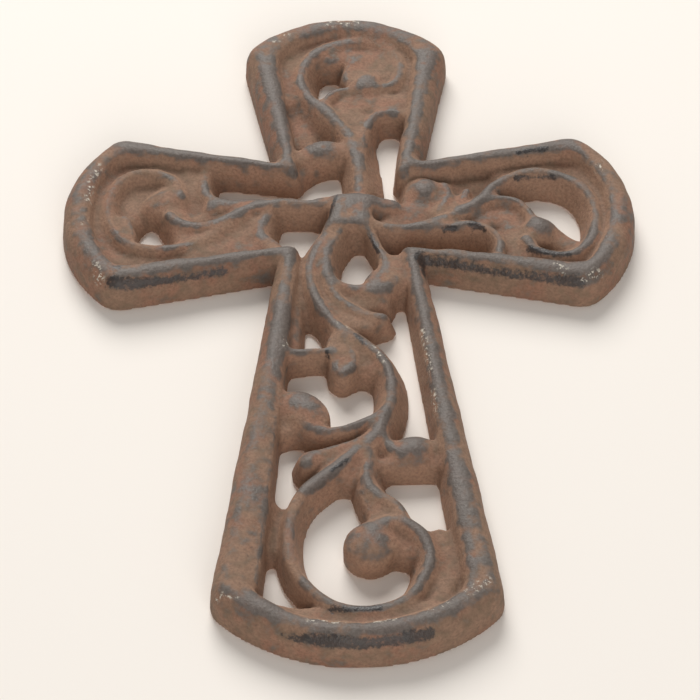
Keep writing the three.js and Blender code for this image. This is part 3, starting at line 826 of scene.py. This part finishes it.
def casting_depth(axis_x, axis_y, axis_z):
    """The whole casting's depth field on a grid."""
    x, y = np.meshgrid(axis_x, axis_y, indexing="ij")
    z = axis_z[None, None, :]
    outer = profile_depth(inset_from(cross_outline(OUTER_CROSS), x, y)[..., None], z, OUTER_PROFILE)
    inner = profile_depth(-inset_from(cross_outline(OPENING), x, y)[..., None], z, INNER_PROFILE)
    depth = np.minimum(outer, inner)
    for form in [*LOWER_ARM, *TOP_ARM, *LEFT_ARM, *RIGHT_ARM, *CROSSING]:
        reach = np.max(form["left"]) + np.max(form["right"]) + FORM_ROOM
        low = np.min(form["path"], axis=0) - reach
        high = np.max(form["path"], axis=0) + reach
        part = window(axis_x, low[0], high[0]), window(axis_y, low[1], high[1])
        depth[part] = smooth_max(depth[part], stem_depth(form, x[part], y[part], z), VALLEY_SOFT)
    for berry in BERRIES:
        reach = max(berry["radius"]) + FORM_ROOM
        at_x, at_y = berry["at"]
        part = window(axis_x, at_x - reach, at_x + reach), window(axis_y, at_y - reach, at_y + reach)
        depth[part] = smooth_max(depth[part], berry_depth(berry, x[part], y[part], z), VALLEY_SOFT)
    boss = profile_depth(inset_from(np.array(BOSS), x, y)[..., None], z, BOSS_PROFILE)
    depth = smooth_max(depth, boss, VALLEY_SOFT)
    return np.minimum(softened(np.minimum(depth, outer)), z)


# Mesh


def surface_net(depth):
    """Vertices, in grid steps, and quads of the surface where the depth changes sign."""
    cells = np.array(depth.shape) - 1
    count = np.zeros(cells.prod())
    total = np.zeros((3, cells.prod()))
    quads = []
    for axis in range(3):
        step = np.eye(3, dtype=int)[axis]
        across = np.eye(3, dtype=int)[(axis + 1) % 3]
        up = np.eye(3, dtype=int)[(axis + 2) % 3]
        near = depth[: depth.shape[0] - step[0], : depth.shape[1] - step[1], : depth.shape[2] - step[2]]
        far = depth[step[0] :, step[1] :, step[2] :]
        edges = np.argwhere((near > 0) != (far > 0))
        near, far = near[tuple(edges.T)], far[tuple(edges.T)]
        crossing = edges + (near / (near - far))[:, None] * step
        around = [edges - across - up, edges - up, edges, edges - across]
        corners = np.stack([np.ravel_multi_index(cell.T, cells) for cell in around], axis=1)
        for corner in corners.T:
            count += np.bincount(corner, minlength=len(count))
            for i in range(3):
                total[i] += np.bincount(corner, crossing[:, i], len(count))
        quads.append(np.where((near > 0)[:, None], corners, corners[:, ::-1]))
    used = np.flatnonzero(count)
    number = np.zeros(len(count), int)
    number[used] = np.arange(len(used))
    return (total[:, used] / count[used]).T, number[np.concatenate(quads)]


def in_metres(points):
    """Points of the drawn cross as they stand in the scene."""
    return points[:, [0, 2, 1]] * [MM, -MM, MM]


def build_casting():
    """The casting's object, and its vertices in the cross's own axes."""
    half_width = OUTER_CROSS["side"]["tip"] + GRID_MARGIN
    bottom = -OUTER_CROSS["foot"]["tip"] - GRID_MARGIN
    top = OUTER_CROSS["top"]["tip"] + GRID_MARGIN
    axis_x = np.arange(-half_width, half_width, PITCH)
    axis_y = np.arange(bottom, top, PITCH)
    axis_z = np.arange(GRID_BACK, RIM_HEIGHT + GRID_MARGIN, PITCH)
    steps, quads = surface_net(casting_depth(axis_x, axis_y, axis_z))
    points = steps * PITCH + [axis_x[0], axis_y[0], axis_z[0]]
    mesh = bpy.data.meshes.new("cast_cross")
    mesh.from_pydata(in_metres(points), [], quads)
    mesh.shade_smooth()
    cross = bpy.data.objects.new("cast_cross", mesh)
    bpy.context.scene.collection.objects.link(cross)
    return cross, points


def vertex_normals(mesh):
    """Normals in the cross's own axes, one row for each vertex."""
    normals = np.empty(len(mesh.vertices) * 3, np.float32)
    mesh.vertex_normals.foreach_get("vector", normals)
    return normals.reshape(-1, 3)[:, [0, 2, 1]] * [1, 1, -1]


def unevenness(point):
    """How far the cast surface swells at a point."""
    swell = noise.noise(point / SWELL_SPAN) * SWELL
    return swell + noise.noise(point / LUMP_SPAN) * LUMP


def roughen(mesh, points):
    """Moves the surface a little in and out, as a sand mould leaves it. The back stays flat."""
    swell = np.array([unevenness(Vector(point)) for point in points])
    moved = np.clip(points[:, 2] / BACK_MARGIN, 0, 1) * swell
    return points + vertex_normals(mesh) * moved[:, None]


# Wear and painted light and shade, as one number for each vertex


def ramp(value, low, high):
    """A share that rises smoothly from 0 at the low value to 1 at the high one."""
    share = np.clip((value - low) / (high - low), 0, 1)
    return share * share * (3 - 2 * share)


def marks(strokes, points):
    """1 on the middle of the strokes, falling to 0 past their half width."""
    fade_start, fade_end = STROKE_FADE
    mask = np.zeros(len(points))
    for path, half_width in strokes:
        distance = nearest_on_curve(smooth_curve(path), points[:, 0], points[:, 1])[0]
        faded = ramp(distance, fade_start * half_width, fade_end * half_width)
        mask = np.maximum(mask, 1 - faded)
    return mask


def smoothed(values, edges, rounds):
    """Values averaged over each vertex's neighbours, several times."""
    count = np.bincount(edges.ravel(), minlength=len(values))[:, None]
    for _ in range(rounds):
        total = np.zeros_like(values)
        for i in range(values.shape[1]):
            total[:, i] += np.bincount(edges[:, 0], values[edges[:, 1], i], len(values))
            total[:, i] += np.bincount(edges[:, 1], values[edges[:, 0], i], len(values))
        values = total / count
    return values


def relief_of(mesh, points, normals, rounds):
    """How far each vertex stands above its surroundings, negative in a hollow."""
    edges = np.empty(len(mesh.edges) * 2, np.int32)
    mesh.edges.foreach_get("vertices", edges)
    around = smoothed(points, edges.reshape(-1, 2), rounds)
    return np.sum((points - around) * normals, axis=1)


def paint(mesh, name, values):
    attribute = mesh.attributes.new(name, "FLOAT", "POINT")
    attribute.data.foreach_set("value", values.astype(np.float32))


def paint_wear(mesh, points):
    """Paints the masks that the iron material reads, among them painted light on the recess walls and
    painted shade in the hollows and in one crevice.
    """
    normals = vertex_normals(mesh)
    front = ramp(normals[:, 2], *TOP_FACING)
    relief = relief_of(mesh, points, normals, RELIEF_ROUNDS)
    height = points[:, 2]
    crest = ramp(relief, *CREST_RELIEF) * ramp(height, *CREST_LEVEL)
    flat_top = ramp(height, *TOP_LEVEL) * front
    bare = 1 - WEAR_SPARED * marks(WHOLE_RUST, points)
    paint(mesh, "worn", np.clip(CREST_WEAR * crest + TOP_WEAR * flat_top, 0, 1) * bare)
    # Painted shade: mask of the hollows, which get a darker colour
    paint(mesh, "hollow", ramp(-relief, *HOLLOW_RELIEF))
    inset = inset_from(cross_outline(OPENING), points[:, 0], points[:, 1])
    # Painted light: mask of the recess walls, which get a paler colour
    paint(mesh, "recess_painted_light", ramp(inset, *RECESS_EDGE) * (1 - front))
    facing = ramp(normals[:, 2], *MARK_FACING)
    # Mask of the dark streaks, which also paints shade into one crevice
    paint(mesh, "streak_and_crevice_shade", marks(DARK_STREAKS_AND_CREVICE_SHADE, points) * ramp(height, *STREAK_AND_SHADE_LEVEL) * facing)
    paint(mesh, "chip", marks(PALE_CHIPS, points) * ramp(height, *CHIP_LEVEL) * facing)


# Materials


class Graph:
    """Builds a material's nodes. A node's input is a value, or an output of another node."""

    def __init__(self, name):
        self.material = bpy.data.materials.new(name)
        self.material.use_nodes = True
        self.tree = self.material.node_tree
        self.tree.nodes.clear()

    def put(self, socket, value):
        if isinstance(value, bpy.types.NodeSocket):
            self.tree.links.new(value, socket)
        else:
            socket.default_value = value

    def node(self, kind, inputs=None, **settings):
        made = self.tree.nodes.new("ShaderNode" + kind)
        for name, value in settings.items():
            setattr(made, name, value)
        for name, value in (inputs or {}).items():
            self.put(made.inputs[name], value)
        return made

    def attribute(self, name):
        return self.node("Attribute", attribute_name=name).outputs["Fac"]

    def noise(self, span, detail, roughness):
        place = self.node("TexCoord").outputs["Object"]
        inputs = {"Vector": place, "Scale": 1 / (span * MM), "Detail": detail, "Roughness": roughness}
        return self.node("TexNoise", inputs).outputs["Fac"]

    def math(self, operation, a, b):
        return self.node("Math", {0: a, 1: b}, operation=operation).outputs[0]

    def ramp(self, value, low, high, start=0.0, end=1.0):
        inputs = {"Value": value, "From Min": low, "From Max": high, "To Min": start, "To Max": end}
        return self.node("MapRange", inputs, interpolation_type="SMOOTHSTEP").outputs["Result"]

    def mix(self, share, a, b, blend_type="MIX"):
        """Blends two colours, the inputs 6 and 7 of a mix node."""
        inputs = {0: share, 6: a, 7: b}
        return self.node("Mix", inputs, data_type="RGBA", blend_type=blend_type).outputs[2]

    def blend(self, share, a, b):
        """Blends two numbers, the inputs 2 and 3 of a mix node."""
        return self.node("Mix", {0: share, 2: a, 3: b}, data_type="FLOAT").outputs[0]


def broken_mask(graph, mask, noise_value, limits):
    """A painted mask, broken up where a noise is low."""
    above_middle = graph.math("SUBTRACT", noise_value, 0.5)
    weighted = graph.math("MULTIPLY", above_middle, NOISE_WEIGHT)
    return graph.ramp(graph.math("ADD", mask, weighted), *limits)


def iron_material():
    """Brown rust with painted light on the recess walls, painted shade in the hollows, worn crests, dark
    streaks with painted shade in one crevice, and pale chips.
    """
    graph = Graph("rusty_iron_and_painted_light")
    patches = graph.noise(*PATCHES)
    mottle = graph.noise(*MOTTLE)
    grain = graph.noise(*GRAIN)
    flecks = graph.noise(*FLECKS)
    rust = graph.mix(graph.ramp(patches, *RED_LIMITS), RUST, RED_RUST)
    rust = graph.mix(graph.ramp(mottle, *DULL_LIMITS), rust, DULL_RUST)
    # Painted light: paler colour on the recess walls
    rust = graph.mix(graph.math("MULTIPLY", graph.attribute("recess_painted_light"), RECESS_LIGHT_SHARE), rust, RECESS_PAINTED_LIGHT)
    # Painted shade: darker colour in the hollows
    rust = graph.mix(graph.math("MULTIPLY", graph.attribute("hollow"), HOLLOW_SHADE_SHARE), rust, HOLLOW_PAINTED_SHADE)
    blotches = graph.math("ADD", mottle, graph.math("SUBTRACT", patches, 0.5))
    worn = broken_mask(graph, graph.attribute("worn"), blotches, WORN_LIMITS)
    skin = graph.mix(graph.math("MULTIPLY", worn, WORN_SHARE), rust, WORN_IRON)
    # Dark streaks, and painted shade in one crevice
    streak_and_crevice_shade = broken_mask(graph, graph.attribute("streak_and_crevice_shade"), flecks, STREAK_AND_SHADE_LIMITS)
    skin = graph.mix(graph.math("MULTIPLY", streak_and_crevice_shade, STREAK_AND_SHADE_SHARE), skin, BLACK_IRON_AND_CREVICE_SHADE)
    chip = graph.math("MULTIPLY", graph.attribute("chip"), graph.ramp(flecks, *CHIP_LIMITS))
    skin = graph.mix(chip, skin, PALE_CHIP)
    speckle = graph.ramp(grain, *SPECKLE_LIMITS, *SPECKLE_SHADES)
    skin = graph.mix(1.0, skin, speckle, "MULTIPLY")
    rough = graph.blend(worn, RUST_ROUGHNESS, WORN_ROUGHNESS)
    rough = graph.blend(streak_and_crevice_shade, rough, STREAK_AND_SHADE_ROUGHNESS)
    pits = graph.math("ADD", grain, graph.math("MULTIPLY", mottle, PIT_MOTTLE))
    bump = graph.node("Bump", {"Height": pits, "Strength": PIT_STRENGTH, "Distance": PIT_DEPTH * MM})
    inputs = {
        "Base Color": skin,
        "Roughness": rough,
        "Normal": bump.outputs["Normal"],
        "Metallic": 0.0,
        "Specular IOR Level": SPECULAR,
    }
    shader = graph.node("BsdfPrincipled", inputs)
    graph.node("OutputMaterial", {"Surface": shader.outputs["BSDF"]})
    return graph.material


def wall_material():
    """A pale matt wall. It shows nothing from behind, and lets light through to what lies flat on it."""
    graph = Graph("pale_wall")
    path = graph.node("LightPath")
    touching = graph.math("LESS_THAN", path.outputs["Ray Length"], WALL_TOUCH * MM)
    lit_through = graph.math("MULTIPLY", path.outputs["Is Shadow Ray"], touching)
    behind = graph.node("NewGeometry").outputs["Backfacing"]
    clear = graph.math("MAXIMUM", behind, lit_through)
    matt = graph.node("BsdfDiffuse", {"Color": WALL}).outputs["BSDF"]
    none = graph.node("BsdfTransparent").outputs["BSDF"]
    shader = graph.node("MixShader", {0: clear, 1: matt, 2: none})
    graph.node("OutputMaterial", {"Surface": shader.outputs["Shader"]})
    return graph.material


# Stage, lights and camera


def build_wall():
    """A wall just behind the back of the cross, facing forwards."""
    half = WALL_SIDE / 2
    corners = [(-half, 0, -half), (half, 0, -half), (half, 0, half), (-half, 0, half)]
    mesh = bpy.data.meshes.new("wall")
    mesh.from_pydata(corners, [], [(0, 1, 2, 3)])
    mesh.materials.append(wall_material())
    wall = bpy.data.objects.new("wall", mesh)
    wall.location.y = WALL_GAP * MM
    bpy.context.scene.collection.objects.link(wall)


def add_light(name, place, size, power, tint):
    """A round lamp that points at the origin."""
    light = bpy.data.lights.new(name, "AREA")
    light.shape = "DISK"
    light.size = size
    light.energy = power
    light.color = tint
    lamp = bpy.data.objects.new(name, light)
    lamp.location = place
    lamp.rotation_euler = (-Vector(place)).to_track_quat("-Z", "Y").to_euler()
    lamp.visible_camera = False
    bpy.context.scene.collection.objects.link(lamp)


def light_scene():
    world = bpy.data.worlds.new("studio")
    world.use_nodes = True
    background = world.node_tree.nodes["Background"]
    background.inputs["Color"].default_value = WORLD
    background.inputs["Strength"].default_value = WORLD_STRENGTH
    bpy.context.scene.world = world
    bpy.context.scene.view_settings.view_transform = "Standard"
    for light in LIGHTS:
        add_light(*light)


def add_camera():
    """The photograph's view: from the foot of the cross, looking down on its front."""
    turn = Matrix.Rotation(CAMERA_TURN, 3, "Y")
    tilt = Matrix.Rotation(math.pi - CAMERA_TILT, 3, "X")
    roll = Matrix.Rotation(CAMERA_ROLL, 3, "Z")
    rotation = turn @ tilt @ roll
    data = bpy.data.cameras.new("camera")
    data.sensor_width = SENSOR
    data.lens = LENS
    camera = bpy.data.objects.new("camera", data)
    camera.location = Vector(CAMERA_AIM) + rotation @ Vector((0, 0, CAMERA_DISTANCE))
    camera.rotation_euler = rotation.to_euler()
    bpy.context.scene.collection.objects.link(camera)
    bpy.context.scene.camera = camera


cross, points = build_casting()
points = roughen(cross.data, points)
cross.data.vertices.foreach_set("co", in_metres(points).ravel())
cross.data.update()
paint_wear(cross.data, points)
cross.data.materials.append(iron_material())
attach(cross, "root")
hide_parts("cross_casting")

build_wall()
light_scene()
add_camera()
